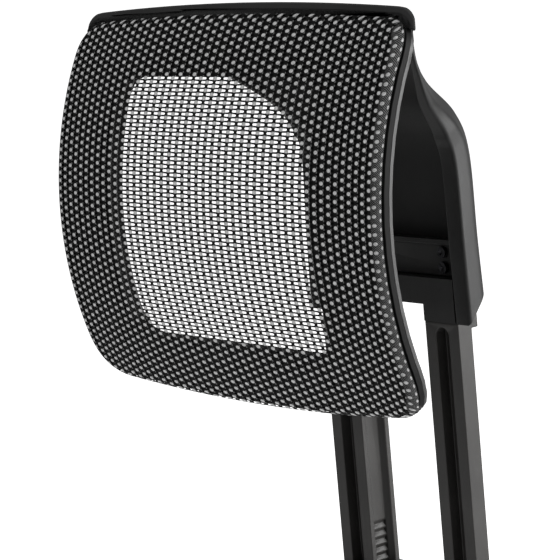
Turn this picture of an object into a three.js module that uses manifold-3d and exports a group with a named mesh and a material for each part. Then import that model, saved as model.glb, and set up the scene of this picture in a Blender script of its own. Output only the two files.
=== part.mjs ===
// Headrest attachment for a mesh office chair. Millimetres, +Z up, the sitter is towards -Y.
// The origin is the centre of the receiver's mounting face, which bolts to the back of the chair's frame.
import * as THREE from 'three';
import { mergeVertices } from 'three/addons/utils/BufferGeometryUtils.js';
import Module from 'manifold-3d';

const wasm = await Module();
wasm.setup();

// Driving dimensions
const gap = 0.3; // between pieces that touch
const postFrontY = 8; // front faces of the posts behind the mounting face
const legBottomZ = 205; // lower end of the hood's legs above the origin

// The pad is part of a drum whose axis runs along X; depth is counted from the fabric's face
// towards the axis.
const drumRadius = 215;
const drumY = 83.5;
const drumZ = 72;
const drumSteps = 18;
const cover = {
  halfWidth: 140, top: 190, bottom: -33, crown: 4.5, lowCrown: 7, corner: 18, lowCorner: 26,
  thickness: 1.2, wrap: 5,
};
const carrier = { inset: 1.5, halfWidth: 141.5, top: 189, bottom: -31, front: 1.5, step: 5.4, back: 8.6 };
const strip = { inset: 0.4, width: 1.8, front: 5.5, back: 7.5 };
const rim = { halfWidth: 141.5, top: 187, bottom: -30, front: 8.9, back: 12.2 };
const windowCut = {
  halfWidth: 87.5, top: 157, bottom: 5, crown: 1.5, lowCrown: 1.5, corner: 17, lowCorner: 17,
};
const rimBoss = { z: 170, front: -95, back: -74.3, radius: 5 };
const rimScrewX = [-75, -30, 30, 75];
const carrierScrews = [[-115, 18], [115, 18], [-115, -14], [115, -14], [-45, -26], [45, -26]]; // x, degrees

// Hood: stations along its back, from the nose over the pad down to the legs.
// y, z: centre of the back; w: half width; crown: how far the back arches; cx, cd: corner size
// across and in depth; round: 1 for a round corner, 0 for a chamfer; lip: depth of the front edge;
// border: its width.
const hoodStations = [
  {
    y: -90, z: 195.6, w: 142, crown: 4, cx: 13, cd: 11, round: 1,
    lip: 16.5, border: 4, inner: 6, wall: 5.5,
  },
  {
    y: -78, z: 192.6, w: 126, crown: 4, cx: 17, cd: 12.5, round: 0.5,
    lip: 18.5, border: 4, inner: 8, wall: 5,
  },
  {
    y: -59, z: 184.5, w: 112, crown: 4, cx: 15, cd: 12, round: 0.2,
    lip: 18.5, border: 4, inner: 9.8, wall: 3,
  },
  {
    y: -33, z: 166, w: 89, crown: 3, cx: 15, cd: 13, round: 0.1,
    lip: 18, border: 5, inner: 9, wall: 3,
  },
  {
    y: -5, z: 143.5, w: 69.5, crown: 2, cx: 14, cd: 13, round: 0.1,
    lip: 20, border: 9, inner: 3, wall: 3,
  },
  {
    y: 17, z: 122, w: 66.9, crown: 0.5, cx: 14, cd: 14, round: 0,
    lip: 25, border: 12, inner: 2, wall: 3,
  },
  {
    y: 26, z: 98, w: 66.8, crown: 0, cx: 14, cd: 14.2, round: 0,
    lip: 26, border: 12, inner: 2, wall: 3,
  },
  {
    y: 26, z: 48, w: 68.4, crown: 0, cx: 14, cd: 13.8, round: 0,
    lip: 26, border: 12, inner: 2, wall: 3,
  },
  {
    y: 26, z: -4, w: 70, crown: 0, cx: 14, cd: 13.3, round: 0,
    lip: 26, border: 12, inner: 2, wall: 3,
  },
];
const hoodSteps = 27;
const hoodBack = 26;
const leg = { inner: 31.4, barBottom: 10, barTop: 26 };
const footCut = [[-10, -11.8], [14, 16.5], [60, 16.5]]; // under side of the legs, front to back, y and z

// Posts and what holds them
const post = {
  inner: 31.4, outer: 58.9, front: 0.3, back: 22.5, chamferX: 46, chamferY: 11.2, bottom: -271,
};
const tongue = { inner: 34, outer: 56, front: 10.3, back: 19.2, top: 44 };
const groove = { x: 45.2, radius: 5.2, depth: 8, top: -3 };
const channel = { front: 3.5, back: 19, floorFront: 6, floorBack: 16.5, depth: 4 };
const travelUp = 20;
const travelDown = 70;
const notch = { pitch: 5, depth: 1.6 };
const stopSlot = { x: 39, width: 6, depth: 3.5 };
const plate = { halfWidth: 53, bottom: 26.4, top: 48, front: 7, back: 10 };
const postScrewZ = [31.5, 40.5];

// Receiver, in the object's own frame
const receiver = { halfWidth: 70, halfHeight: 40, back: 37, web: 12, corner: 6 };
const liner = { wall: 2.5, play: 0.3, flange: 3, flangeHeight: 3, key: 3 };
const housing = { halfWidth: 22.5, halfHeight: 11, back: 30, ear: 21, earBack: 16 };
const plunger = { radius: 4, tip: 36.7, inner: 12, waist: 33 };
const bolt = { x: 14, z: 29, radius: 3, head: 5.5, headHeight: 3.5, length: 26 };

// Materials
const fabricBlack = new THREE.MeshStandardMaterial({ color: 0x3a3a3c, roughness: 0.9, metalness: 0 });
const moulded = new THREE.MeshStandardMaterial({ color: 0x2b2b2d, roughness: 0.5, metalness: 0 });
const postBlack = new THREE.MeshStandardMaterial({ color: 0x303033, roughness: 0.42, metalness: 0 });
const nylon = new THREE.MeshStandardMaterial({ color: 0x1c1c1e, roughness: 0.6, metalness: 0 });
const castAlloy = new THREE.MeshStandardMaterial({ color: 0x35363a, roughness: 0.45, metalness: 0.3 });
const zincSteel = new THREE.MeshStandardMaterial({ color: 0xa8aaad, roughness: 0.35, metalness: 1 });
const blackSteel = new THREE.MeshStandardMaterial({ color: 0x26262a, roughness: 0.4, metalness: 0.9 });

// A closed geometry as a solid, and a solid as a geometry
function solid(geometry) {
  const bare = geometry.clone();
  bare.deleteAttribute('normal');
  bare.deleteAttribute('uv');
  const merged = mergeVertices(bare, 1e-4);
  const vertProperties = new Float32Array(merged.attributes.position.array);
  const triVerts = new Uint32Array(merged.index.array);
  return new wasm.Manifold(new wasm.Mesh({ numProp: 3, vertProperties, triVerts }));
}

function geometryOf(manifold) {
  const { vertProperties, triVerts } = manifold.simplify(0.01).getMesh();
  const geometry = new THREE.BufferGeometry();
  geometry.setAttribute('position', new THREE.BufferAttribute(new Float32Array(vertProperties), 3));
  geometry.setIndex(new THREE.BufferAttribute(new Uint32Array(triVerts), 1));
  geometry.computeVertexNormals();
  return geometry;
}

function piece(name, shape, material) {
  const geometry = shape.isBufferGeometry ? shape : geometryOf(shape);
  const mesh = new THREE.Mesh(geometry, material);
  mesh.name = name;
  return mesh;
}

// A box between two corners
function block(x0, x1, y0, y1, z0, z1) {
  const geometry = new THREE.BoxGeometry(x1 - x0, y1 - y0, z1 - z0);
  return solid(geometry.translate((x0 + x1) / 2, (y0 + y1) / 2, (z0 + z1) / 2));
}

// An outline in X and Z, extruded along Y between two planes
function alongY(shape, y0, y1, curveSegments = 6) {
  const geometry = new THREE.ExtrudeGeometry(shape, { depth: y1 - y0, bevelEnabled: false, curveSegments });
  const turn = new THREE.Matrix4().makeBasis(
    new THREE.Vector3(1, 0, 0), new THREE.Vector3(0, 0, 1), new THREE.Vector3(0, -1, 0));
  return solid(geometry.applyMatrix4(turn).translate(0, y1, 0));
}

// An outline in Y and Z, extruded along X between two planes
function alongX(shape, x0, x1, curveSegments = 6) {
  const geometry = new THREE.ExtrudeGeometry(shape, { depth: x1 - x0, bevelEnabled: false, curveSegments });
  const turn = new THREE.Matrix4().makeBasis(
    new THREE.Vector3(0, 1, 0), new THREE.Vector3(0, 0, 1), new THREE.Vector3(1, 0, 0));
  return solid(geometry.applyMatrix4(turn).translate(x0, 0, 0));
}

// An outline in X and Y, extruded along Z between two planes
function alongZ(shape, z0, z1, curveSegments = 6) {
  const geometry = new THREE.ExtrudeGeometry(shape, { depth: z1 - z0, bevelEnabled: false, curveSegments });
  return solid(geometry.translate(0, 0, z0));
}

function polygon(points) {
  return new THREE.Shape(points.map(([a, b]) => new THREE.Vector2(a, b)));
}

function rodY(x, z, y0, y1, radius, sides = 10) {
  const geometry = new THREE.CylinderGeometry(radius, radius, y1 - y0, sides);
  return solid(geometry.translate(x, (y0 + y1) / 2, z));
}

function rodX(y, z, x0, x1, radius, sides = 16) {
  const geometry = new THREE.CylinderGeometry(radius, radius, x1 - x0, sides);
  return solid(geometry.rotateZ(Math.PI / 2).translate((x0 + x1) / 2, y, z));
}

// A screw along Y: its head's underside is at y = 0 and its shank runs towards -Y
function screwGeometry(radius, length, headRadius, headHeight, socket) {
  const sides = 10;
  const profile = [
    [0, -length], [radius * 0.7, -length], [radius, -length + radius * 0.6], [radius, 0],
    [headRadius, 0], [headRadius, headHeight], [socket, headHeight], [0, headHeight * 0.4],
  ];
  return new THREE.LatheGeometry(profile.map(([r, y]) => new THREE.Vector2(r, y)), sides);
}

// Outline of a pad layer in X and Z: crowned top and bottom, straight sides, round corners
function padOutline(size, inset = 0) {
  const { crown, lowCrown, corner, lowCorner } = size;
  const x = size.halfWidth - inset;
  const high = size.top - inset - crown;
  const low = size.bottom + inset + lowCrown;
  const c = Math.max(corner - inset * 0.6, 2);
  const d = Math.max(lowCorner - inset * 0.6, 2);
  const shape = new THREE.Shape();
  shape.moveTo(-x, low + d);
  shape.quadraticCurveTo(-x, low, -x + d, low - lowCrown * 0.2);
  shape.quadraticCurveTo(0, low - 1.8 * lowCrown, x - d, low - lowCrown * 0.2);
  shape.quadraticCurveTo(x, low, x, low + d);
  shape.lineTo(x, high - c);
  shape.quadraticCurveTo(x, high, x - c, high + crown * 0.2);
  shape.quadraticCurveTo(0, high + 1.8 * crown, -x + c, high + crown * 0.2);
  shape.quadraticCurveTo(-x, high, -x, high - c);
  return shape;
}

// The drum's layer between two depths, as wide as any pad layer
function drumLayer(front, back) {
  const low = -0.62;
  const high = 0.72;
  const points = [];
  for (let i = 0; i <= drumSteps; i++) {
    const a = low + (high - low) * i / drumSteps;
    points.push([drumY - (drumRadius - front) * Math.cos(a), drumZ + (drumRadius - front) * Math.sin(a)]);
  }
  for (let i = drumSteps; i >= 0; i--) {
    const a = low + (high - low) * i / drumSteps;
    points.push([drumY - (drumRadius - back) * Math.cos(a), drumZ + (drumRadius - back) * Math.sin(a)]);
  }
  return alongX(polygon(points.reverse()), -160, 160);
}

function layer(outline, front, back) {
  return drumLayer(front, back).intersect(alongY(outline, -140, 0));
}

// A solid set on the drum: its own -Y axis points out of the pad's face at an angle above the horizontal
function onDrum(part, x, degrees, depth) {
  const a = THREE.MathUtils.degToRad(degrees);
  part.rotation.x = -a;
  const r = drumRadius - depth;
  part.position.set(x, drumY - r * Math.cos(a), drumZ + r * Math.sin(a));
  return part;
}

function drumHole(x, degrees, radius, front, back) {
  const rod = new THREE.Mesh(new THREE.CylinderGeometry(radius, radius, back - front, 10));
  onDrum(rod, x, degrees, (front + back) / 2);
  rod.updateMatrix();
  return solid(rod.geometry.clone().applyMatrix4(rod.matrix));
}

// The stretched fabric: a face sheet with its edge turned back over the carrier
function meshCover() {
  const outer = layer(padOutline(cover), 0, cover.wrap);
  const hollow = layer(padOutline(cover, cover.thickness), cover.thickness, cover.wrap + 4);
  return outer.subtract(hollow);
}

// The ring that the fabric is stretched on: a raised front land and a wider flange behind it
function carrierRing() {
  const land = layer(padOutline(cover, carrier.inset), carrier.front, carrier.step + 1);
  const flange = layer(padOutline({ ...cover, ...carrier }), carrier.step, carrier.back);
  const edgeGroove = layer(padOutline(cover, strip.inset - gap), 0, strip.back + gap)
    .subtract(layer(padOutline(cover, strip.inset + strip.width + gap), 0, 20));
  const opening = alongY(padOutline(windowCut), -160, 20);
  let ring = land.add(flange).subtract(edgeGroove).subtract(opening);
  for (const [x, degrees] of carrierScrews) {
    ring = ring.subtract(drumHole(x, degrees, 1.9, 2.8, 20));
  }
  return ring;
}

// The plastic strip sewn to the fabric's edge and pressed into the carrier's groove
function meshEdgeStrip() {
  const outer = layer(padOutline(cover, strip.inset), strip.front, strip.back);
  return outer.subtract(layer(padOutline(cover, strip.inset + strip.width), 0, 20));
}

// The ring behind the carrier, with four bosses for the hood's screws
function rearRim() {
  const size = { ...cover, ...rim };
  const plain = layer(padOutline(size), rim.front, rim.back - 1.5);
  const stepped = layer(padOutline(size, 1.3), rim.front, rim.back);
  let ring = plain.add(stepped).subtract(alongY(padOutline(windowCut, -3), -160, 20));
  for (const x of rimScrewX) {
    ring = ring.add(rodY(x, rimBoss.z, rimBoss.front, rimBoss.back, rimBoss.radius, 12));
    ring = ring.subtract(rodY(x, rimBoss.z, rimBoss.front - 1, 0, 2.1));
  }
  for (const [x, degrees] of carrierScrews) {
    ring = ring.subtract(drumHole(x, degrees, 2.2, 0, 30));
  }
  return ring;
}

// One section of the hood: pairs of half width and depth, from the middle of the back round one side
function hoodHalfSection(s) {
  const points = [];
  const archSteps = 3;
  for (let i = 0; i <= archSteps; i++) {
    const k = i / archSteps;
    points.push([(s.w - s.cx) * k, s.crown * k * k]);
  }
  for (let i = 1; i <= 4; i++) {
    const k = i / 4;
    const a = k * Math.PI / 2;
    const across = THREE.MathUtils.lerp(k, Math.sin(a), s.round);
    const deep = THREE.MathUtils.lerp(k, 1 - Math.cos(a), s.round);
    points.push([s.w - s.cx + s.cx * across, s.crown + s.cd * deep]);
  }
  points.push([s.w, s.lip]);
  points.push([s.w - s.border, s.lip]);
  const side = s.w - s.border - 1.2;
  const floor = s.wall + s.crown;
  points.push([side, floor + s.inner]);
  points.push([side - s.inner * 0.3, floor + s.inner * 0.3]);
  points.push([side - s.inner, floor]);
  for (let i = archSteps - 1; i >= 0; i--) {
    const k = i / archSteps;
    points.push([(side - s.inner) * k, s.wall + s.crown * k * k]);
  }
  return points;
}

function hoodStation(t) {
  const last = hoodStations.length - 1;
  const i = Math.min(Math.floor(t * last), last - 1);
  const k = t * last - i;
  const at = (j) => hoodStations[THREE.MathUtils.clamp(j, 0, last)];
  const station = {};
  for (const key of Object.keys(hoodStations[0])) {
    const [p0, p1, p2, p3] = [at(i - 1)[key], at(i)[key], at(i + 1)[key], at(i + 2)[key]];
    const m1 = (p2 - p0) / 2;
    const m2 = (p3 - p1) / 2;
    const h = k * k * (3 - 2 * k);
    station[key] = p1 + (p2 - p1) * h + (k ** 3 - 2 * k * k + k) * m1 + (k ** 3 - k * k) * m2;
  }
  return station;
}

// The swept tray: sections stand square to the path of the hood's back
function hoodTray() {
  const rings = [];
  for (let i = 0; i <= hoodSteps; i++) {
    const t = i / hoodSteps;
    const s = hoodStation(t);
    const before = hoodStation(Math.max(t - 0.01, 0));
    const after = hoodStation(Math.min(t + 0.01, 1));
    const along = new THREE.Vector2(after.y - before.y, after.z - before.z).normalize();
    const half = hoodHalfSection(s);
    const mirrored = half.slice(1, -1).reverse().map(([x, d]) => [-x, d]);
    rings.push([...half, ...mirrored].map(([x, d]) => [x, s.y + d * along.y, s.z - d * along.x]));
  }
  const count = rings[0].length;
  const outline = hoodHalfSection(hoodStation(0));
  const flat = [...outline, ...outline.slice(1, -1).reverse().map(([x, d]) => [-x, d])];
  const cap = THREE.ShapeUtils.triangulateShape(flat.map(([x, d]) => new THREE.Vector2(x, d)), []);
  const index = [];
  for (let i = 0; i < hoodSteps; i++) {
    for (let j = 0; j < count; j++) {
      const a = i * count + j;
      const b = i * count + (j + 1) % count;
      index.push(a, b, a + count, b, b + count, a + count);
    }
  }
  for (const [a, b, c] of cap) {
    index.push(a, c, b);
    const end = hoodSteps * count;
    index.push(end + a, end + b, end + c);
  }
  const geometry = new THREE.BufferGeometry();
  geometry.setAttribute('position', new THREE.Float32BufferAttribute(rings.flat(2), 3));
  geometry.setIndex(index);
  return solid(geometry);
}

// The hood: the tray, a bar across its foot, two legs round the posts' tongues, and lugs for the rim
function hoodShell() {
  const ringSpace = { ...cover, halfWidth: carrier.halfWidth + gap, top: cover.top + gap };
  let shell = hoodTray().subtract(layer(padOutline(ringSpace), -12, rim.back + gap));
  shell = shell.add(block(-59, 59, gap, 22, leg.barBottom, leg.barTop));
  for (const side of [-1, 1]) {
    const xs = [side * leg.inner, side * 59].sort((a, b) => a - b);
    shell = shell.add(block(xs[0], xs[1], gap, 22, -3, leg.barTop));
  }
  shell = shell.subtract(block(-leg.inner, leg.inner, -10, 40, -20, leg.barBottom));
  const under = polygon([[-10, -60], [60, -60], ...footCut.slice().reverse()]);
  shell = shell.subtract(alongX(under, -90, 90));
  for (const side of [-1, 1]) {
    const xs = [side * (tongue.inner - gap), side * (tongue.outer + gap)].sort((a, b) => a - b);
    shell = shell.subtract(block(xs[0], xs[1], tongue.front - gap, tongue.back + gap, -30, 60));
    const middle = (xs[0] + xs[1]) / 2;
    for (const z of postScrewZ) {
      shell = shell.add(rodY(middle, z, tongue.back + gap, hoodBack - 2, 5.2));
      shell = shell.subtract(rodY(middle, z, 10, hoodBack - 1.4, 1.9));
    }
  }
  for (const x of rimScrewX) {
    const root = rimBoss.z + 17 - Math.abs(x) * 0.03;
    shell = shell.add(block(x - 8, x + 8, rimBoss.back + gap, rimBoss.back + 4, rimBoss.z - 7, root));
    shell = shell.subtract(rodY(x, rimBoss.z, rimBoss.back - 1, rimBoss.back + 6, 2.2));
  }
  return shell;
}

// The plate that clamps the posts' tongues against the hood's back
function clampPlate() {
  let shape = block(-plate.halfWidth, plate.halfWidth, plate.front, plate.back, plate.bottom, plate.top);
  const ribFront = plate.front - 1.5;
  const rib = block(-plate.halfWidth, plate.halfWidth, ribFront, plate.front + 1, plate.top - 3, plate.top);
  shape = shape.add(rib);
  for (const side of [-1, 1]) {
    for (const z of postScrewZ) {
      shape = shape.subtract(rodY(side * (tongue.inner + tongue.outer) / 2, z, 0, 20, 2.3));
    }
  }
  return shape;
}

// The post's section in X and Y, for the +X post, with room all round when it cuts its liner
function postSection(room = 0, withChannel = true) {
  const x0 = post.inner - room;
  const x1 = post.outer + room;
  const y0 = post.front - room;
  const y1 = post.back + room;
  const floor = post.inner + channel.depth;
  const chamfer = [[x1, post.chamferY + room * 0.5], [post.chamferX + room * 0.5, y1]];
  const points = [[x0, y0], [x1, y0], ...chamfer, [x0, y1]];
  if (withChannel) {
    points.push([x0, channel.back], [floor, channel.floorBack]);
    points.push([floor, channel.floorFront], [x0, channel.front]);
  }
  return polygon(points);
}

// A post: grooved face, channelled inner side with click notches, an upper end that follows the slope of
// the hood's legs, and a tongue that goes up into the hood
function postShape() {
  const high = 60;
  const above = polygon([...footCut.map(([y, z]) => [y, z - 2 * gap]), [60, high * 2], [-10, high * 2]]);
  let shape = alongZ(postSection(), post.bottom, high).subtract(alongX(above, 0, 80));
  shape = shape.add(block(tongue.inner, tongue.outer, tongue.front, tongue.back, -5, tongue.top));
  const slit = new THREE.Shape();
  slit.moveTo(groove.x - groove.radius, post.bottom - 5);
  slit.lineTo(groove.x + groove.radius, post.bottom - 5);
  slit.lineTo(groove.x + groove.radius, groove.top - groove.radius);
  slit.absarc(groove.x, groove.top - groove.radius, groove.radius, 0, Math.PI, false);
  shape = shape.subtract(alongY(slit, post.front - 2, post.front + groove.depth, 8));
  const stopHigh = -legBottomZ + travelDown + stopSlot.width / 2 + gap;
  const stopLow = -legBottomZ - travelUp - stopSlot.width / 2 - gap;
  const half = stopSlot.width / 2 + gap;
  const slotFront = post.back - stopSlot.depth;
  const slot = block(stopSlot.x - half, stopSlot.x + half, slotFront, post.back + 2, stopLow, stopHigh);
  shape = shape.subtract(slot);
  shape = shape.subtract(clickNotches());
  for (const z of postScrewZ) {
    shape = shape.subtract(rodY((tongue.inner + tongue.outer) / 2, z, 0, 30, 2.3));
  }
  return shape;
}

// Vee notches across the channel's floor, one every pitch over the whole travel
function clickNotches() {
  const floor = post.inner + channel.depth;
  const low = -legBottomZ - travelUp - notch.pitch / 2;
  const count = Math.round((travelUp + travelDown) / notch.pitch) + 1;
  const points = [[floor - 1, low], [floor, low]];
  for (let i = 0; i < count; i++) {
    points.push([floor + notch.depth, low + (i + 0.5) * notch.pitch]);
    points.push([floor, low + (i + 1) * notch.pitch]);
  }
  points.push([floor - 1, low + count * notch.pitch]);
  return alongY(polygon(points), channel.floorFront, channel.floorBack);
}

// The receiver: two square sleeves joined by a web with the bolt holes
function receiverBody() {
  const { halfWidth: w, halfHeight: h, corner: r } = receiver;
  const plan = new THREE.Shape();
  plan.moveTo(-w + 2, 0);
  plan.lineTo(w - 2, 0);
  plan.lineTo(w, 2);
  plan.lineTo(w, receiver.back - r);
  plan.quadraticCurveTo(w, receiver.back, w - r, receiver.back);
  plan.lineTo(25.5, receiver.back);
  plan.lineTo(25.5, receiver.web);
  plan.lineTo(-25.5, receiver.web);
  plan.lineTo(-25.5, receiver.back);
  plan.lineTo(-w + r, receiver.back);
  plan.quadraticCurveTo(-w, receiver.back, -w, receiver.back - r);
  plan.lineTo(-w, 2);
  let body = alongZ(plan, -h, h, 5);
  for (const side of [-1, 1]) {
    const xs = [side * (post.inner - liner.wall - 2 * gap), side * (post.outer + liner.wall + 2 * gap)];
    xs.sort((a, b) => a - b);
    const y0 = postFrontY + post.front - liner.wall - 2 * gap;
    const y1 = postFrontY + post.back + liner.wall + 2 * gap;
    body = body.subtract(block(xs[0], xs[1], y0, y1, -h - 1, h + 1));
    for (const z of [-1, 1]) {
      body = body.subtract(rodY(side * bolt.x, z * bolt.z, -1, receiver.back, bolt.radius + gap));
    }
    body = body.subtract(rodY(side * stopSlot.x, 0, receiver.back - 10, receiver.back + 1, 2.8));
  }
  for (const z of [-1, 1]) {
    body = body.subtract(rodY(0, z * 17.5, 4, receiver.web + 1, 1.7));
  }
  return body.subtract(rodX(postFrontY + detentY(), 0, -34, 34, plunger.radius + gap));
}

function detentY() {
  return (channel.floorFront + channel.floorBack) / 2;
}

// A nylon liner for the +X post, in the frame of the posts: it has a collar, and a key in the post's groove
function linerShape() {
  const x0 = post.inner - liner.play - liner.wall + gap;
  const x1 = post.outer + liner.play + liner.wall - gap;
  const y0 = post.front - liner.play - liner.wall + gap;
  const y1 = post.back + liner.play + liner.wall - gap;
  const h = receiver.halfHeight;
  const f = liner.flange;
  const z0 = -legBottomZ + h + gap;
  let shape = block(x0, x1, y0, y1, -legBottomZ - h, -legBottomZ + h + liner.flangeHeight);
  shape = shape.add(block(x0 - f, x1 + f, y0 - f, y1 + f, z0, z0 + liner.flangeHeight));
  shape = shape.subtract(alongZ(postSection(liner.play, false), -legBottomZ - h - 5, -legBottomZ + h + 10));
  const half = groove.radius - 0.6;
  const keyBack = post.front + liner.key;
  const key = block(groove.x - half, groove.x + half, y0 + 0.5, keyBack, -legBottomZ - h + 4, z0 + 1);
  shape = shape.add(key);
  shape = shape.subtract(rodY(stopSlot.x, -legBottomZ, 18, 40, 2.8));
  return shape.subtract(rodX(detentY(), -legBottomZ, 20, post.inner + 1, plunger.radius + gap));
}

// The block behind the web that holds both click plungers and their springs
function detentHousing() {
  const y = postFrontY + detentY();
  const { halfWidth: w, halfHeight: h } = housing;
  let shape = block(-w, w, receiver.web + gap, housing.back, -h, h);
  shape = shape.add(block(-8, 8, receiver.web + gap, housing.earBack, -housing.ear, housing.ear));
  for (const side of [-1, 1]) {
    const xs = [side * 2.5, side * 30].sort((a, b) => a - b);
    shape = shape.subtract(rodX(y, 0, xs[0], xs[1], plunger.radius + gap));
  }
  for (const z of [-1, 1]) {
    shape = shape.subtract(rodY(0, z * 17.5, 4, 30, 2));
  }
  return shape;
}

// A click plunger pointing to +X: a round pin with a blunt cone that sits in a notch
function plungerGeometry() {
  const { radius: r, tip, inner, waist } = plunger;
  const profile = [[0, inner], [r, inner], [r, waist - 2.5], [1.9, tip - 1.5], [0.2, tip], [0, tip]];
  const geometry = new THREE.LatheGeometry(profile.map(([a, b]) => new THREE.Vector2(a, b)), 16);
  return geometry.rotateZ(-Math.PI / 2);
}

class Helix extends THREE.Curve {
  constructor(radius, length, turns) {
    super();
    this.size = [radius, length, turns];
  }

  getPoint(t, target = new THREE.Vector3()) {
    const [radius, length, turns] = this.size;
    const a = t * turns * Math.PI * 2;
    return target.set(length * t, radius * Math.cos(a), radius * Math.sin(a));
  }
}

// The coil behind a plunger, along X
function springGeometry() {
  const wire = 0.45;
  const turns = 5;
  const start = 2.5 + gap + wire;
  const length = plunger.inner - gap - wire - start;
  const section = new THREE.Shape().absarc(0, 0, wire, 0, Math.PI * 2, false);
  const extrudePath = new Helix(3.2, length, turns);
  const coil = new THREE.ExtrudeGeometry(section, { extrudePath, steps: turns * 9, curveSegments: 2 });
  return coil.translate(start, 0, 0);
}

function screw(name, geometry, material, x, y, z) {
  const mesh = piece(name, geometry, material);
  mesh.position.set(x, y, z);
  return mesh;
}

// Assembly: the head group is what slides, with its own origin at the foot of the hood's legs
const headrest = new THREE.Group();
const head = new THREE.Group();
head.position.set(0, postFrontY, legBottomZ);
headrest.add(head);

head.add(piece('mesh_cover', meshCover(), fabricBlack));
head.add(piece('mesh_edge_strip', meshEdgeStrip(), nylon));
head.add(piece('carrier_ring', carrierRing(), moulded));
head.add(piece('rear_rim', rearRim(), moulded));
head.add(piece('hood_shell', hoodShell(), moulded));
head.add(piece('post_clamp_plate', clampPlate(), moulded));

const sides = [['left', -1], ['right', 1]];
const rightPost = postShape();
const rightLiner = linerShape();
for (const [name, side] of sides) {
  const mirror = (shape) => (side > 0 ? shape : shape.mirror([1, 0, 0]));
  head.add(piece(`${name}_post`, mirror(rightPost), postBlack));
  const sleeve = piece(`${name}_post_liner`, mirror(rightLiner), nylon);
  sleeve.position.copy(head.position);
  headrest.add(sleeve);
}

const postScrew = screwGeometry(1.6, 16.5, 3.6, 2.4, 1.6).rotateX(Math.PI);
for (const [name, side] of sides) {
  postScrewZ.forEach((z, i) => {
    const x = side * (tongue.inner + tongue.outer) / 2;
    head.add(screw(`${name}_post_screw_${i + 1}`, postScrew, blackSteel, x, plate.front - gap, z));
  });
}

const rimScrew = screwGeometry(1.8, 12.5, 4, 2.6, 1.8);
rimScrewX.forEach((x, i) => {
  head.add(screw(`rim_screw_${i + 1}`, rimScrew, blackSteel, x, rimBoss.back + 4 + gap, rimBoss.z));
});

const carrierScrew = screwGeometry(1.6, 7, 3.6, 2, 1.5);
carrierScrews.forEach(([x, degrees], i) => {
  const mesh = piece(`carrier_screw_${i + 1}`, carrierScrew, blackSteel);
  head.add(onDrum(mesh, x, degrees, rim.back + gap));
});

headrest.add(piece('receiver_body', receiverBody(), castAlloy));
headrest.add(piece('detent_housing', detentHousing(), nylon));

const plungerY = postFrontY + detentY();
const clickPlunger = plungerGeometry();
const coil = springGeometry();
for (const [name, side] of sides) {
  const pin = piece(`${name}_click_plunger`, clickPlunger, zincSteel);
  const spring = piece(`${name}_click_spring`, coil, zincSteel);
  for (const part of [pin, spring]) {
    part.position.set(0, plungerY, 0);
    part.rotation.z = side > 0 ? 0 : Math.PI;
    headrest.add(part);
  }
}

const housingScrew = screwGeometry(1.4, 9, 3, 2, 1.3);
headrest.add(screw('housing_screw_1', housingScrew, zincSteel, 0, housing.earBack + gap, -17.5));
headrest.add(screw('housing_screw_2', housingScrew, zincSteel, 0, housing.earBack + gap, 17.5));

const stopLength = receiver.back - postFrontY - post.back + stopSlot.depth - 0.8;
const stopScrew = screwGeometry(2.5, stopLength, 5, 3, 2.2);
for (const [name, side] of sides) {
  const x = side * stopSlot.x;
  headrest.add(screw(`${name}_stop_screw`, stopScrew, blackSteel, x, receiver.back + gap, 0));
}

const mountBolt = screwGeometry(bolt.radius, bolt.length, bolt.head, bolt.headHeight, 2.5);
let boltNumber = 0;
for (const x of [-bolt.x, bolt.x]) {
  for (const z of [-bolt.z, bolt.z]) {
    boltNumber += 1;
    headrest.add(screw(`mount_bolt_${boltNumber}`, mountBolt, blackSteel, x, receiver.web + gap, z));
  }
}

export default headrest;
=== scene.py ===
# Mesh headrest on a flared hood and two posts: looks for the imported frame.
# Metres, +Z up, the sitter is towards -Y.
import math
import bmesh
import bpy
import numpy as np
from mathutils import Matrix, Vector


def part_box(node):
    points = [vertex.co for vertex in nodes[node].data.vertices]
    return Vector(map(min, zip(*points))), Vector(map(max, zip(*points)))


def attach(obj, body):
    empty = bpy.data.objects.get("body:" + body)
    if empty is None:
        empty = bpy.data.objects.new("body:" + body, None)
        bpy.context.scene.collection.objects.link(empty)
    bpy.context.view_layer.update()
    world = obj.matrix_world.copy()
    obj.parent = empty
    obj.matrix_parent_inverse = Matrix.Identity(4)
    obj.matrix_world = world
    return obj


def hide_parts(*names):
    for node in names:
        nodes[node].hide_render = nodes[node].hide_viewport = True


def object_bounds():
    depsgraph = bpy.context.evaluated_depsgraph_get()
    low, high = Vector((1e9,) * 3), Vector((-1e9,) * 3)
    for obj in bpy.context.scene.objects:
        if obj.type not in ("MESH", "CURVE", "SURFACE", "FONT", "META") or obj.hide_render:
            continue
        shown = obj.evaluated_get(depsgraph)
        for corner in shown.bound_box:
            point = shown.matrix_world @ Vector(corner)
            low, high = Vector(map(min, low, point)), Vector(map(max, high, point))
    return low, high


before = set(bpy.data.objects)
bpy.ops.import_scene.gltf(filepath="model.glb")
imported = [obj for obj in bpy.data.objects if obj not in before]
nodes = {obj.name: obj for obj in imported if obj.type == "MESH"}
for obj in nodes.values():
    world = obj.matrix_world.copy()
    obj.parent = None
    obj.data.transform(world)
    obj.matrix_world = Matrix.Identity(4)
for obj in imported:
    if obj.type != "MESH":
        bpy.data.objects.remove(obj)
cadBox = [list(corner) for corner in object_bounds()]
mm = 0.001
postInset = 0.3  # the posts stand this far behind the face of the legs
# the foot of the legs, in millimetres
origin = np.array([0.0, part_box("right_post")[0].y / mm - postInset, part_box("hood_shell")[0].z / mm])
print("frame loaded:", len(nodes), "nodes")


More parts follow.
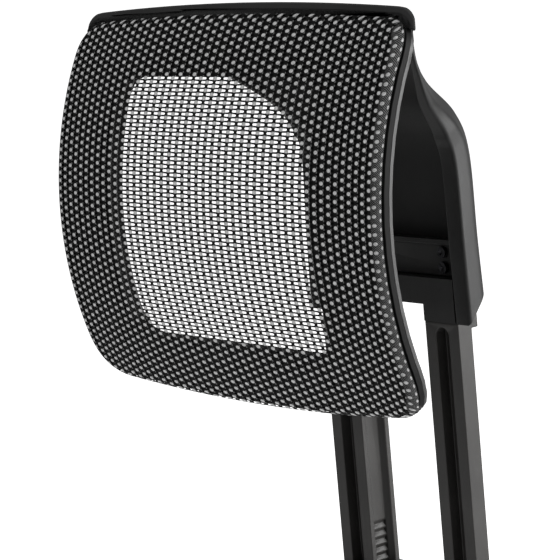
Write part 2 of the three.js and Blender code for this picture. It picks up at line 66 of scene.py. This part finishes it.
# ---- camera, light and floor
view = {
    "place": (1.0943, -0.9907, 0.4764),
    "azimuth": 50.0,
    "elevation": 9.35,
    "roll": -5.092,
    "lens": 162.98,
    "worldColour": (1.0, 1.0, 1.0, 1.0),
    "worldStrength": 0.32,
    "floorGlow": 0.8,
    "floorDrop": 0.12,  # below the posts' lower ends, so the head can slide down
    "floorSize": 40.0,
}
lamps = {  # name: place, what it points at, size, watts
    "sideSoftbox": ((2.1, 1.4, 0.8), (0.0, 0.0, 0.25), 1.7, 95.0),
    "overheadSoftbox": ((0.0, -0.4, 2.6), (0.0, 0.0, 0.3), 1.8, 12.0),
    "frontFill": ((-0.6, -2.6, 0.9), (0.0, 0.0, 0.25), 1.8, 7.0),
}


def turned(back, roll):
    # camera axes: right is level, then both turn by the roll about the line of sight
    back = np.array(back)
    right = np.cross(-back, [0, 0, 1])
    right /= np.linalg.norm(right)
    up = np.cross(right, -back)
    c, s = math.cos(roll), math.sin(roll)
    return c * right + s * up, -s * right + c * up, back


def setCamera(v):
    a, e = math.radians(v["azimuth"]), math.radians(v["elevation"])
    back = (math.sin(a) * math.cos(e), -math.cos(a) * math.cos(e), math.sin(e))
    axes = turned(back, math.radians(v["roll"]))
    camera = bpy.data.objects.new("camera", bpy.data.cameras.new("camera"))
    bpy.context.scene.collection.objects.link(camera)
    matrix = np.eye(4)
    matrix[:3, 0], matrix[:3, 1], matrix[:3, 2] = axes
    matrix[:3, 3] = v["place"]
    camera.matrix_world = Matrix(matrix.tolist())
    camera.data.lens = v["lens"]
    camera.data.sensor_width = 36.0
    camera.data.clip_end = 100.0
    bpy.context.scene.camera = camera


def addLamp(name, place, target, size, watts):
    light = bpy.data.lights.new(name, "AREA")
    light.shape = "DISK"
    light.size = size
    light.energy = watts
    lamp = bpy.data.objects.new(name, light)
    bpy.context.scene.collection.objects.link(lamp)
    back = np.array(place) - np.array(target)
    axes = turned(back / np.linalg.norm(back), 0.0)
    matrix = np.eye(4)
    matrix[:3, 0], matrix[:3, 1], matrix[:3, 2] = axes
    matrix[:3, 3] = place
    lamp.matrix_world = Matrix(matrix.tolist())


# ---- shader sums: a wrapped socket, so a formula reads as one
class Value:
    def __init__(self, tree, socket):
        self.tree = tree
        self.socket = socket

    def node(self, kind, settings=None, inputs=None, out=0):
        made = self.tree.nodes.new(kind)
        for name, setting in (settings or {}).items():
            if name == "stops":
                ramp = made.color_ramp
                for i, (at, colour) in enumerate(setting):
                    stop = ramp.elements[i] if i < 2 else ramp.elements.new(at)
                    stop.position = at
                    stop.color = colour
            else:
                setattr(made, name, setting)
        for name, given in (inputs or {}).items():
            if isinstance(given, Value):
                self.tree.links.new(given.socket, made.inputs[name])
            else:
                made.inputs[name].default_value = given
        return Value(self.tree, made.outputs[out])

    def maths(self, operation, *given, clamp=False):
        settings = {"operation": operation, "use_clamp": clamp}
        return self.node("ShaderNodeMath", settings, dict(enumerate(given)))

    def __add__(self, other):
        return self.maths("ADD", self, other)

    __radd__ = __add__

    def __sub__(self, other):
        return self.maths("SUBTRACT", self, other)

    def __rsub__(self, other):
        return self.maths("SUBTRACT", other, self)

    def __mul__(self, other):
        return self.maths("MULTIPLY", self, other)

    __rmul__ = __mul__

    def __truediv__(self, other):
        return self.maths("DIVIDE", self, other)

    def __pow__(self, other):
        return self.maths("POWER", self, other)

    def __abs__(self):
        return self.maths("ABSOLUTE", self)

    def fraction(self):
        return self.maths("FRACT", self)

    def floor(self):
        return self.maths("FLOOR", self)

    def larger(self, other):
        return self.maths("MAXIMUM", self, other)

    def step(self, low, high):
        # 0 below low, 1 above high, smooth between; low may be the larger
        limits = {"Value": self, "From Min": low, "From Max": high, "To Min": 0.0, "To Max": 1.0}
        return self.node("ShaderNodeMapRange", {"interpolation_type": "SMOOTHSTEP"}, limits)

    def tint(self, dark, light):
        # a colour between two by this value
        mixed = {"Factor": self, 6: dark, 7: light}
        return self.node("ShaderNodeMix", {"data_type": "RGBA", "clamp_factor": True}, mixed, out=2)

    def noise(self, scale, detail=3.0, roughness=0.55):
        given = {"Vector": self, "Scale": scale, "Detail": detail, "Roughness": roughness}
        return self.node("ShaderNodeTexNoise", {}, given)

    def stretched(self, scale):
        return self.node("ShaderNodeMapping", {}, {"Vector": self, "Scale": scale})


def newMaterial(name):
    material = bpy.data.materials.new(name)
    material.use_nodes = True
    tree = material.node_tree
    shader = tree.nodes["Principled BSDF"]
    start = Value(tree, None)
    return material, start, shader


def feed(shader, name, given):
    if isinstance(given, Value):
        given.tree.links.new(given.socket, shader.inputs[name])
    else:
        shader.inputs[name].default_value = given


def grey(level, warm=0.0):
    return (level * (1 + warm), level, level * (1 - warm), 1.0)


# ---- materials
plastics = {  # dark and light of the colour, roughness, shine, grain size (per metre) and depth
    "hoodPlastic": {"dark": grey(0.010), "light": grey(0.018), "rough": 0.42, "shine": 0.3,
                    "grain": 2600, "depth": 0.10},
    # the rear rim's lighter base colour is a painted highlight on black plastic
    "rimPlasticPaintedHighlight": {"dark": grey(0.022), "light": grey(0.034), "rough": 0.40, "shine": 0.4,
                   "grain": 3000, "depth": 0.08},
    # the carrier ring's near-black base colour is painted shade on black plastic
    "ringPlasticPaintedShade": {"dark": grey(0.003), "light": grey(0.006), "rough": 0.5, "shine": 0.1,
                    "grain": 3000, "depth": 0.05},
    "postPlastic": {"dark": grey(0.020, 0.05), "light": grey(0.032, 0.05), "rough": 0.38, "shine": 0.35,
                    "grain": 2200, "depth": 0.08},
    "linerNylon": {"dark": grey(0.008), "light": grey(0.014), "rough": 0.5, "shine": 0.3,
                   "grain": 1800, "depth": 0.05},
    "powderCoat": {"dark": grey(0.02), "light": grey(0.034), "rough": 0.48, "shine": 0.4,
                   "grain": 900, "depth": 0.18},
}


def plasticMaterial(name, p):
    # colour and roughness drift slowly over the piece; the bump is a fine spark grain with faint scuffs
    material, start, shader = newMaterial(name)
    place = start.node("ShaderNodeTexCoord", {}, {}, out=3)
    drift = place.noise(28.0, 4.0)
    grain = place.noise(p["grain"], 2.0, 0.7)
    scuffs = place.stretched((1.0, 1.0, 0.25)).noise(420.0, 5.0, 0.62).step(0.58, 0.72)
    tone = (drift + 0.2 * grain + 0.12 * scuffs).step(0.35, 0.9)
    feed(shader, "Base Color", tone.tint(p["dark"], p["light"]))
    feed(shader, "Roughness", p["rough"] - 0.07 + 0.14 * drift + 0.05 * grain - 0.05 * scuffs)
    shader.inputs["Specular IOR Level"].default_value = p["shine"]
    bump = {"Height": grain + 0.15 * scuffs, "Strength": p["depth"], "Distance": 0.0004}
    feed(shader, "Normal", start.node("ShaderNodeBump", {}, bump))
    return material


steels = {
    "zincSteel": {"dark": (0.42, 0.42, 0.40, 1), "light": (0.66, 0.66, 0.62, 1), "rough": 0.3},
    "blackSteel": {"dark": (0.02, 0.02, 0.022, 1), "light": (0.06, 0.06, 0.065, 1), "rough": 0.36},
}


def steelMaterial(name, s):
    # plating: blotches of two tones under fine turning marks
    material, start, shader = newMaterial(name)
    place = start.node("ShaderNodeTexCoord", {}, {}, out=3)
    blotch = place.noise(420.0, 4.0)
    marks = place.stretched((1.0, 6.0, 1.0)).noise(2600.0, 2.0)
    feed(shader, "Metallic", 1.0)
    feed(shader, "Base Color", (blotch * 0.7 + marks * 0.3).step(0.35, 0.65).tint(s["dark"], s["light"]))
    feed(shader, "Roughness", s["rough"] - 0.08 + 0.2 * blotch)
    bump = {"Height": marks, "Strength": 0.12, "Distance": 0.0001}
    feed(shader, "Normal", start.node("ShaderNodeBump", {}, bump))
    return material


cloth = {  # millimetres
    "columnPitch": 12.6, "rowPitch": 2.3, "slotHalf": (5.0, 0.66), "floatHalf": (1.8, 1.1),
    "thread": grey(0.003), "threadLit": grey(0.008), "float": grey(0.46), "floatLit": grey(0.78),
    "shine": 0.12,
    "edgePitch": 4.75, "bigDot": (3.1, 1.2, 1.0), "smallDot": (6.7, 0.6, 1.0),
}


def clothMaterial(name, c):
    # rows of long slots, each row shifted by half a column; a pale float sits in the middle of each slot
    material, start, shader = newMaterial(name)
    flat = start.node("ShaderNodeUVMap", {"uv_map": "weave"})
    split = start.node("ShaderNodeSeparateXYZ", {}, {"Vector": flat})
    across, along = split, Value(split.tree, split.socket.node.outputs[1])
    row = along / c["rowPitch"]
    odd = (row.floor() * 0.5).fraction()
    inColumn = abs((across / c["columnPitch"] + odd).fraction() - 0.5) * c["columnPitch"]
    inRow = abs(row.fraction() - 0.5) * c["rowPitch"]
    wobble = flat.noise(0.9, 2.0)
    sx, sz = c["slotHalf"]
    slot = ((inColumn / sx) ** 6 + (inRow / sz) ** 4).step(1.2, 0.8)
    fx, fz = c["floatHalf"]
    floatDot = ((inColumn / fx) ** 2 + (inRow / fz) ** 2 + 0.5 * wobble).step(1.45, 0.95)
    strand = abs((across * 2 / c["columnPitch"] + 0.2).fraction() - 0.5).step(0.09, 0.04)

    rim = start.node("ShaderNodeUVMap", {"uv_map": "edge"})
    rimSplit = start.node("ShaderNodeSeparateXYZ", {}, {"Vector": rim})
    run, travel = rimSplit, Value(split.tree, rimSplit.socket.node.outputs[1])
    onEdge = travel.step(0.9, 1.3)
    beat = abs((run / c["edgePitch"]).fraction() - 0.5) * c["edgePitch"]
    offBeat = abs((run / c["edgePitch"] + 0.5).fraction() - 0.5) * c["edgePitch"]
    at, halfAcross, halfAlong = c["bigDot"]
    big = ((abs(travel - at) / halfAcross) ** 2 + (beat / halfAlong) ** 2 + 0.4 * wobble).step(1.4, 0.9)
    at, halfAcross, halfAlong = c["smallDot"]
    small = ((abs(travel - at) / halfAcross) ** 2 + (offBeat / halfAlong) ** 2).step(1.25, 0.85)
    twill = abs((run * 0.9 + abs(travel - 3.1) * 0.9).fraction() - 0.5).step(0.30, 0.12)
    speckle = rim.noise(1.6, 2.0)

    face = floatDot.larger(strand * 0.28)
    side = (0.7 * big).larger(0.6 * small).larger(twill * 0.34 * speckle)
    pale = face * (1 - onEdge) + side * onEdge
    dark = speckle.tint(c["thread"], c["threadLit"])
    light = wobble.step(0.3, 0.7).tint(c["float"], c["floatLit"])
    colour = start.node("ShaderNodeMix", {"data_type": "RGBA"}, {"Factor": pale, 6: dark, 7: light}, out=2)
    feed(shader, "Base Color", colour)
    shader.inputs["Specular IOR Level"].default_value = c["shine"]
    feed(shader, "Roughness", 0.78 - 0.12 * pale)
    feed(shader, "Alpha", 1 - slot * (1 - floatDot) * (1 - onEdge))
    bump = {"Height": pale + 0.4 * (1 - slot), "Strength": 0.55, "Distance": 0.0005}
    feed(shader, "Normal", start.node("ShaderNodeBump", {}, bump))
    return material


made = {name: plasticMaterial(name, p) for name, p in plastics.items()}
made.update({name: steelMaterial(name, s) for name, s in steels.items()})
made["meshCloth"] = clothMaterial("meshCloth", cloth)
print("materials made:", len(made))


# ---- surfaces from arrays
def addObject(name, mesh, material, sharp=None):
    mesh.materials.clear()
    mesh.materials.append(material)
    if sharp is not None:
        mesh.shade_smooth()
        mesh.set_sharp_from_angle(angle=math.radians(sharp))
    piece = bpy.data.objects.new(name, mesh)
    bpy.context.scene.collection.objects.link(piece)
    return piece


def gridFaces(rows, columns, start=0):
    # quads between neighbouring rows of a grid whose columns close on themselves
    i, j = np.meshgrid(np.arange(rows - 1), np.arange(columns), indexing="ij")
    here = start + i * columns + j
    beside = start + i * columns + (j + 1) % columns
    return np.stack([here, here + columns, beside + columns, beside], -1).reshape(-1, 4)


def meshFrom(name, points, faces, closed=False):
    mesh = bpy.data.meshes.new(name)
    mesh.from_pydata((np.asarray(points) * mm).tolist(), [], [list(map(int, f)) for f in faces])
    if closed:
        turn = bmesh.new()
        turn.from_mesh(mesh)
        bmesh.ops.recalc_face_normals(turn, faces=turn.faces)
        turn.to_mesh(mesh)
        turn.free()
    return mesh


# ---- the pad's outline and its drum, in millimetres from the foot of the legs
pad = {
    "radius": 215, "axisY": 83.5, "axisZ": 72, "halfWidth": 140, "top": 190, "bottom": -33,
    "crown": 4.5, "lowCrown": 7, "corner": 18, "lowCorner": 26,
    "edgeRadius": 4.6, "wrap": 5.1, "tuck": 1.4, "around": 760, "rings": 40,
    "denser": 0.22, "denserFrom": 62, "denserTo": 125,  # the weave closes up towards the sides
}
ringSpace = {**pad, "halfWidth": 141.8, "top": 190.3}


def curve(a, b, c, count=40):
    t = np.linspace(0, 1, count, endpoint=False)[:, None]
    return (1 - t) ** 2 * np.array(a) + 2 * t * (1 - t) * np.array(b) + t ** 2 * np.array(c)


def padOutline(p, count):
    # straight sides, crowned top and bottom, round corners; evenly spaced by length, with inward normals
    x = p["halfWidth"]
    high, low = p["top"] - p["crown"], p["bottom"] + p["lowCrown"]
    c, d = p["corner"], p["lowCorner"]
    lowEnd, highEnd = low - 0.2 * p["lowCrown"], high + 0.2 * p["crown"]
    parts = [
        curve((-x, low + d), (-x, low), (-x + d, lowEnd)),
        curve((-x + d, lowEnd), (0, low - 1.8 * p["lowCrown"]), (x - d, lowEnd), 160),
        curve((x - d, lowEnd), (x, low), (x, low + d)),
        curve((x, low + d), (x, (low + high) / 2), (x, high - c), 120),
        curve((x, high - c), (x, high), (x - c, highEnd)),
        curve((x - c, highEnd), (0, high + 1.8 * p["crown"]), (-x + c, highEnd), 160),
        curve((-x + c, highEnd), (-x, high), (-x, high - c)),
        curve((-x, high - c), (-x, (low + high) / 2), (-x, low + d), 120),
    ]
    line = np.vstack(parts + [parts[0][:1]])
    length = np.concatenate([[0], np.cumsum(np.linalg.norm(np.diff(line, axis=0), axis=1))])
    at = np.linspace(0, length[-1], count, endpoint=False)
    points = np.stack([np.interp(at, length, line[:, k]) for k in (0, 1)], 1)
    tangent = np.roll(points, -1, 0) - np.roll(points, 1, 0)
    tangent /= np.linalg.norm(tangent, axis=1)[:, None]
    inward = np.stack([-tangent[:, 1], tangent[:, 0]], 1)
    return points, inward, at, length[-1]


def onDrum(p, flat, depth):
    # y from the drum: axis minus the root of (radius - depth) squared less height squared
    x, z = flat[..., 0], flat[..., 1]
    y = p["axisY"] - np.sqrt((p["radius"] - depth) ** 2 - (z - p["axisZ"]) ** 2)
    return np.stack([x, y, z], -1) + origin


def drumSolid(p, front, back, count=300, rings=14):
    # a closed slab of the drum between two depths: a fan of rings in front, a wall, a fan of rings behind
    points = padOutline(p, count)[0]
    centre = np.array([0, (p["top"] + p["bottom"]) / 2])
    scale = np.linspace(0.02, 1, rings)[:, None, None]
    sheet = centre + (points - centre) * scale
    rows = np.concatenate([onDrum(p, sheet, front), onDrum(p, sheet[::-1], back)])
    faces = gridFaces(len(rows), count).tolist()
    last = (len(rows) - 1) * count
    faces.append(list(range(count)))
    faces.append([last + i for i in range(count)][::-1])
    flat = rows.reshape(-1, 3)
    return flat, faces


def makeCloth(p):
    # rings from the middle of the face to where the edge starts to roll, a quarter circle, a short wall and
    # a tuck under the edge; one map counts the weave, the other the length round and over the edge
    r = p["edgeRadius"]
    points, inward, at, length = padOutline(p, p["around"])
    centre = np.array([0, (p["top"] + p["bottom"]) / 2])
    edge = points + r * inward
    scale = np.linspace(0, 1, p["rings"] + 1)[1:, None, None]
    face = centre + (edge - centre) * scale
    rows = [onDrum(p, face, 0.0)]
    turn = np.linspace(0, math.pi / 2, 9)[1:]
    inset = list(r * (1 - np.sin(turn))) + [0.0, p["tuck"]]
    depth = list(r * (1 - np.cos(turn))) + [p["wrap"] - 0.1, p["wrap"]]
    travel = [0.0] * p["rings"] + list(r * turn) + [r * math.pi / 2 + 0.4, r * math.pi / 2 + 1.8]
    outer = [points + k * inward for k in inset]
    rows += [onDrum(p, flat, d)[None] for flat, d in zip(outer, depth)]
    grid = np.concatenate(rows)
    around = p["around"]
    faces = gridFaces(len(grid), around, 1)
    fan = [[0, 1 + j, 1 + (j + 1) % around] for j in range(around)]
    vertices = np.vstack([onDrum(p, centre, 0.0)[None], grid.reshape(-1, 3)])
    mesh = meshFrom("pad_mesh_cloth", vertices, fan + faces.tolist())

    flat = np.concatenate([centre[None], np.concatenate([face, np.array(outer)]).reshape(-1, 2)])
    more = np.clip((np.abs(flat[:, 0]) - p["denserFrom"]) / (p["denserTo"] - p["denserFrom"]), 0, 3)
    closing = p["denser"] * 0.5 * more ** 2 * (p["denserTo"] - p["denserFrom"])
    across = flat[:, 0] + np.sign(flat[:, 0]) * closing
    along = p["radius"] * np.arcsin((flat[:, 1] - p["axisZ"]) / p["radius"])
    run = np.concatenate([[0], np.tile(at, len(grid))])
    # the top and bottom edges keep the plain weave
    sideways = np.clip((np.abs(inward[:, 0]) - 0.5) / 0.3, 0, 1)
    over = np.concatenate([[0], (np.array(travel)[:, None] * sideways).ravel()])
    corner = np.zeros(len(mesh.loops), np.int32)
    mesh.loops.foreach_get("vertex_index", corner)
    first = np.zeros(len(mesh.polygons), np.int32)
    count = np.zeros(len(mesh.polygons), np.int32)
    mesh.polygons.foreach_get("loop_start", first)
    mesh.polygons.foreach_get("loop_total", count)
    owner = np.repeat(np.arange(len(first)), count)
    runs = run[corner]
    highest = np.maximum.reduceat(runs, first)[owner]
    runs = np.where(highest - runs > length / 2, runs + length, runs)  # the closing column counts on
    for name, u, v in (("weave", across[corner], along[corner]), ("edge", runs, over[corner])):
        layer = mesh.uv_layers.new(name=name)
        layer.data.foreach_set("uv", np.stack([u, v], 1).astype(np.float32).ravel())
    piece = addObject("pad_mesh_cloth", mesh, made["meshCloth"], 60)
    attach(piece, "head")
    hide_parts("mesh_cover")
    return piece


# ---- the hood: sections square to a path, joined by the same curve through the stations as the solid
hood = {
    "keys": ("y", "z", "w", "crown", "cx", "cd", "round", "lip", "border", "inner", "wall"),
    "stations": [
        (-90, 195.6, 142, 4, 13, 11, 1, 16.5, 4, 6, 5.5),
        (-78, 192.6, 126, 4, 17, 12.5, 0.5, 18.5, 4, 8, 5),
        (-59, 184.5, 112, 4, 15, 12, 0.2, 18.5, 4, 9.8, 3),
        (-33, 166, 89, 3, 15, 13, 0.1, 18, 5, 9, 3),
        (-5, 143.5, 69.5, 2, 14, 13, 0.1, 20, 9, 3, 3),
        (17, 122, 66.9, 0.5, 14, 14, 0, 25, 12, 2, 3),
        (26, 98, 66.8, 0, 14, 14.2, 0, 26, 12, 2, 3),
        (26, 48, 68.4, 0, 14, 13.8, 0, 26, 12, 2, 3),
        (26, -4, 70, 0, 14, 13.3, 0, 26, 12, 2, 3),
    ],
    "steps": 150, "endSteps": 26, "backRound": 3.0, "lipRound": 2.4, "innerRound": 1.4,
    "footCut": ((-10, -11.8), (14, 16.5), (60, 16.5)),  # under side of the legs, front to back
    # forwards and inwards at the nose's edge
    "noseRound": ((1.75, 1.9), (1.7, 1.2), (1.3, 0.6), (0.6, 0.15)),
}


def stationValues(h, t):
    # a Hermite curve through the stations with slopes from the neighbours, for an array of positions 0 to 1
    table = np.array(h["stations"], float)
    last = len(table) - 1
    i = np.minimum(np.floor(t * last).astype(int), last - 1)
    k = (t * last - i)[:, None]
    p0, p1, p2, p3 = (table[np.clip(i + j, 0, last)] for j in (-1, 0, 1, 2))
    blend = k * k * (3 - 2 * k)
    pull = (k ** 3 - 2 * k ** 2 + k) * (p2 - p0) / 2 + (k ** 3 - k ** 2) * (p3 - p1) / 2
    return dict(zip(h["keys"], (p1 + (p2 - p1) * blend + pull).T))


def rounded(corner, before, after, radius, count=4):
    # a corner's points: a quadratic curve that leaves each side a radius away from it, or 0.45 of the side
    def towards(other):
        gap = other - corner
        length = np.linalg.norm(gap, axis=-1, keepdims=True)
        return corner + gap * np.minimum(radius / np.maximum(length, 1e-6), 0.45)
    a, b = towards(before), towards(after)
    t = np.linspace(0, 1, count + 1)
    return [(1 - k) ** 2 * a + 2 * k * (1 - k) * corner + k * k * b for k in t]


def hoodSection(h, s):
    # half a section for every row at once, as (across, depth): back, corner, lip, inside wall and floor
    def at(x, d):
        return np.stack([x + 0 * s["w"], d + 0 * s["w"]], -1)
    flat = s["w"] - s["cx"]
    back = [at(flat * k, s["crown"] * k * k) for k in np.linspace(0, 1, 9)[:-1]]
    corner = []
    for k in np.linspace(0, 1, 9):
        across = (1 - s["round"]) * k + s["round"] * math.sin(k * math.pi / 2)
        deep = (1 - s["round"]) * k + s["round"] * (1 - math.cos(k * math.pi / 2))
        corner.append(at(flat + s["cx"] * across, s["crown"] + s["cd"] * deep))
    outerLip, innerLip = at(s["w"], s["lip"]), at(s["w"] - s["border"], s["lip"])
    side = s["w"] - s["border"] - 1.2
    floor = s["wall"] + s["crown"]
    wall = at(side, floor + s["inner"])
    points = back + rounded(corner[0], back[-1], corner[2], h["backRound"]) + corner[2:7]
    points += rounded(corner[8], corner[6], outerLip, h["backRound"])
    points += rounded(outerLip, corner[8], innerLip, h["lipRound"], 5)
    points += rounded(innerLip, outerLip, wall, h["innerRound"])
    points += [wall, at(side - 0.3 * s["inner"], floor + 0.3 * s["inner"]), at(side - s["inner"], floor)]
    flat = side - s["inner"]
    points += [at(flat * k, s["wall"] + s["crown"] * k * k) for k in np.linspace(1, 0, 7)[1:]]
    half = np.stack(points, 1)
    other = half[:, -2:0:-1] * np.array([-1, 1])
    return np.concatenate([half, other], 1)


def alongPath(section, s, direction):
    # section points stand square to the path: depth runs to the inside of the bend
    across, deep = section[..., 0], section[..., 1]
    y = s["y"][:, None] + deep * direction[1][:, None]
    z = s["z"][:, None] - deep * direction[0][:, None]
    return np.stack([across, y, z], -1)


def pathDirection(h, t):
    before, after = stationValues(h, np.maximum(t - 0.005, 0)), stationValues(h, np.minimum(t + 0.005, 1))
    dy, dz = after["y"] - before["y"], after["z"] - before["z"]
    length = np.hypot(dy, dz)
    return dy / length, dz / length


def hoodGrid(h):
    lastStraight = 7 / 8
    t = np.linspace(0, lastStraight, h["steps"])
    s = stationValues(h, t)
    direction = pathDirection(h, t)
    section = hoodSection(h, s)
    body = alongPath(section, s, direction)

    # the nose's rounded edge: the first section, a little further on and a little smaller
    first = section[0]
    tangent = np.roll(first, -1, 0) - np.roll(first, 1, 0)
    normal = np.stack([tangent[:, 1], -tangent[:, 0]], 1) / np.linalg.norm(tangent, axis=1)[:, None]
    nose = []
    head = {key: value[:1] for key, value in s.items()}
    for forward, inward in h["noseRound"]:
        ring = alongPath((first - normal * inward)[None], head, (direction[0][:1], direction[1][:1]))[0]
        nose.append(ring - forward * np.array([0, direction[0][0], direction[1][0]]))

    # the legs' end: every line of the section runs on straight down to the sloping cut
    down = np.linspace(0, 1, h["endSteps"])[1:]
    e = stationValues(h, lastStraight + down * 0.09)
    end = alongPath(hoodSection(h, e), e, (0 * down, 0 * down - 1))
    top = body[-1, :, 2][None]
    cut = np.interp(end[..., 1], *zip(*h["footCut"]))
    end[..., 2] = top + (cut - top) * down[:, None]
    return np.concatenate([np.array(nose), body, end])


def blockPoints(section, x0, x1):
    # a (y, z) outline carried along X
    low = [[x0, y, z] for y, z in section]
    high = [[x1, y, z] for y, z in section]
    n = len(section)
    points = np.array(low + high, float)
    faces = [list(range(n)), list(range(2 * n - 1, n - 1, -1))]
    faces += [[i, (i + 1) % n, n + (i + 1) % n, n + i] for i in range(n)]
    return points + origin, faces


foot = {
    "half": 57, "inner": 31.4, "front": 0.06, "back": 22, "top": 26,
    "low": (14, 16.5), "bar": (8.49, 10),  # where the sloping cut ends, and where it meets the bar
}
lugs = {"x": (-75, -30, 30, 75), "half": 8, "front": -74.0, "back": -70.3, "z": 170, "down": 7, "up": 19}


def makeHood(h):
    grid = hoodGrid(h)
    rows, columns = grid.shape[:2]
    faces = gridFaces(rows, columns).tolist()
    faces.append(list(range(columns)))
    faces.append([(rows - 1) * columns + j for j in range(columns)][::-1])
    points = grid.reshape(-1, 3)
    shell = addObject("hood_body", meshFrom("hood_body", points + origin, faces, True), made["hoodPlastic"])
    cutterPoints, cutterFaces = drumSolid(ringSpace, -14, 12.5)
    cutterMesh = meshFrom("ring_space", cutterPoints, cutterFaces, True)
    cutter = addObject("ring_space", cutterMesh, made["hoodPlastic"])
    cut = shell.modifiers.new("ring space", "BOOLEAN")
    cut.operation = "DIFFERENCE"
    cut.solver = "EXACT"
    cut.use_self = True
    cut.object = cutter
    carved = bpy.data.meshes.new_from_object(shell.evaluated_get(bpy.context.evaluated_depsgraph_get()))
    bpy.data.objects.remove(shell)
    bpy.data.objects.remove(cutter)

    blocks = []
    f = foot
    over = [f["low"], (f["back"], f["low"][1]), (f["back"], f["top"]), (f["front"], f["top"])]
    leg = [(f["front"], f["front"]), *over]
    bar = [(f["front"], f["bar"][1]), f["bar"], *over]
    blocks.append(blockPoints(bar, -f["inner"], f["inner"]))
    for side in (-1, 1):
        ends = sorted((side * f["inner"], side * f["half"]))
        blocks.append(blockPoints(leg, *ends))
    for x in lugs["x"]:
        low, high = lugs["z"] - lugs["down"], lugs["z"] + lugs["up"] - 0.03 * abs(x)
        box = [(lugs["front"], low), (lugs["back"], low), (lugs["back"], high), (lugs["front"], high)]
        blocks.append(blockPoints(box, x - lugs["half"], x + lugs["half"]))
    joined = bmesh.new()
    joined.from_mesh(carved)
    for points, faces in blocks:
        extra = meshFrom("block", points, faces, True)
        joined.from_mesh(extra)
    bmesh.ops.remove_doubles(joined, verts=joined.verts, dist=1e-6)
    joined.to_mesh(carved)
    joined.free()
    carved.name = "hood_body"
    piece = addObject("hood_body", carved, made["hoodPlastic"], 38)
    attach(piece, "head")
    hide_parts("hood_shell")
    print("hood made:", len(carved.polygons), "faces")
    return piece


# ---- hard pieces whose solid is right get their edges broken; the rest only get their finish
finer = {  # node: material, slot, body, edge radius in mm, angle that stays sharp
    # the carrier ring's near-black finish is painted shade, the rear rim's lighter one a painted highlight
    "carrier_ring": ("ringPlasticPaintedShade", "rim_plastic", "head", 0.5, 40),
    "rear_rim": ("rimPlasticPaintedHighlight", "rim_plastic", "head", 0.6, 40),
    "post_clamp_plate": ("hoodPlastic", "hood_plastic", "head", 0.4, 35),
    "left_post": ("postPlastic", "post_plastic", "head", 0.7, 35),
    "right_post": ("postPlastic", "post_plastic", "head", 0.7, 35),
    "receiver_body": ("powderCoat", "cast_alloy", "receiver", 0.9, 35),
    "detent_housing": ("linerNylon", "nylon", "receiver", 0.5, 35),
    "left_post_liner": ("linerNylon", "nylon", "receiver", 0.4, 35),
    "right_post_liner": ("linerNylon", "nylon", "receiver", 0.4, 35),
}


def makeFiner(node, material, slotName, body, radius, sharp):
    # merged copy of the solid, flat areas joined into one face each, edges over 30 degrees rounded off
    work = bmesh.new()
    work.from_mesh(nodes[node].data)
    bmesh.ops.remove_doubles(work, verts=work.verts, dist=1e-5)
    bmesh.ops.dissolve_limit(work, angle_limit=math.radians(0.5), verts=work.verts, edges=work.edges)
    bmesh.ops.recalc_face_normals(work, faces=work.faces)
    mesh = bpy.data.meshes.new(node + "_finished")
    work.to_mesh(mesh)
    work.free()
    piece = addObject(node + "_finished", mesh, made[material], sharp)
    bevel = piece.modifiers.new("broken edges", "BEVEL")
    bevel.width = radius * mm
    bevel.segments = 2
    bevel.limit_method = "ANGLE"
    bevel.angle_limit = math.radians(30)
    bevel.harden_normals = True
    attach(piece, body)
    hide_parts(node)
    return piece


finishes = {
    "mesh_edge_strip": "linerNylon", "left_post_screw": "blackSteel", "right_post_screw": "blackSteel",
    "rim_screw": "blackSteel", "carrier_screw": "blackSteel", "housing_screw": "zincSteel",
    "left_stop_screw": "blackSteel", "right_stop_screw": "blackSteel", "mount_bolt": "blackSteel",
    "left_click": "zincSteel", "right_click": "zincSteel",
}


def finishNode(name, node):
    for start, material in finishes.items():
        if name.startswith(start):
            node.data.materials.clear()
            node.data.materials.append(made[material])


setCamera(view)
for name, (place, target, size, watts) in lamps.items():
    addLamp(name, place, target, size, watts)
world = bpy.data.worlds.new("studio")
world.use_nodes = True
world.node_tree.nodes["Background"].inputs["Color"].default_value = view["worldColour"]
world.node_tree.nodes["Background"].inputs["Strength"].default_value = view["worldStrength"]
bpy.context.scene.world = world
bpy.context.scene.view_settings.view_transform = "Standard"

floorMesh = bpy.data.meshes.new("floor")
reach, level = view["floorSize"], cadBox[0][2] - view["floorDrop"]
floorMesh.from_pydata([(-reach, -reach, level), (reach, -reach, level), (reach, reach, level),
                       (-reach, reach, level)], [], [(0, 1, 2, 3)])
floorPaint, floorStart, floorShader = newMaterial("floorPaint")
floorPlace = floorStart.node("ShaderNodeTexCoord", {}, {}, out=3)
feed(floorShader, "Base Color", floorPlace.noise(3.0).tint(grey(0.93), grey(0.96)))
feed(floorShader, "Roughness", 0.9)
seen = floorStart.node("ShaderNodeLightPath")  # only the camera sees the glow, so it lights nothing
feed(floorShader, "Emission Color", seen.tint(grey(0.0), view["worldColour"]))
floorShader.inputs["Emission Strength"].default_value = view["floorGlow"]
addObject("floor", floorMesh, floorPaint)
print("camera, lamps and floor set")

makeCloth(pad)
makeHood(hood)
for node, given in finer.items():
    makeFiner(node, *given)
for name, node in nodes.items():
    finishNode(name, node)
print("pieces finished")
